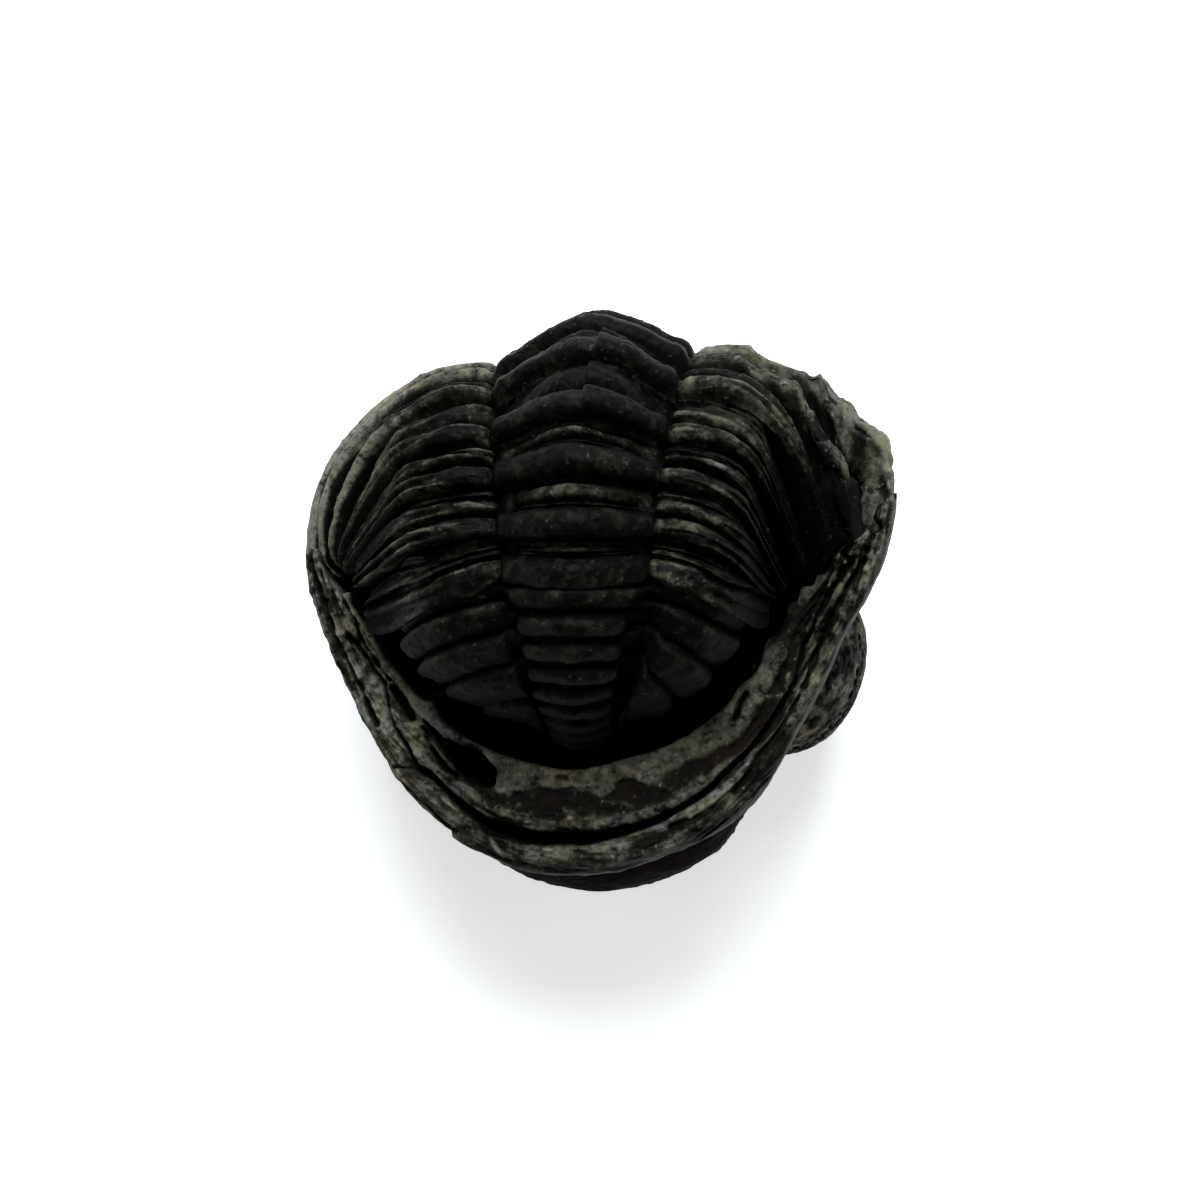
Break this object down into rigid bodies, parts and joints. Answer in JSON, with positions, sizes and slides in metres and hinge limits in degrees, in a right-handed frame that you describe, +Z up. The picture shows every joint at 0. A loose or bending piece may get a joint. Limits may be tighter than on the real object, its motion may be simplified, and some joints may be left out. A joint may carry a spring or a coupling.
{
  "type": "fossil trilobite",
  "caption": "Rolled-up black fossil trilobite of the phacopid kind, a loose stone lying on its back with the tail tucked inside the rim of the head.",
  "frame": {"origin": "middle of the footprint's bounding box, on the surface the fossil rests on", "axes": "+Z up from the table; the front of the head points to -Y, the middle of the thorax to +Y, and the head's plane of symmetry stands near the YZ plane"},
  "size_m": [0.0461, 0.0454, 0.0364],
  "materials": {
    "black_stone": "satin black fossil shell and rock, worn grey-olive on the rim of the head and the tips of the segments"
  },
  "bodies": {
    "root": {"trilobite": "black_stone"}
  },
  "joints": []
}
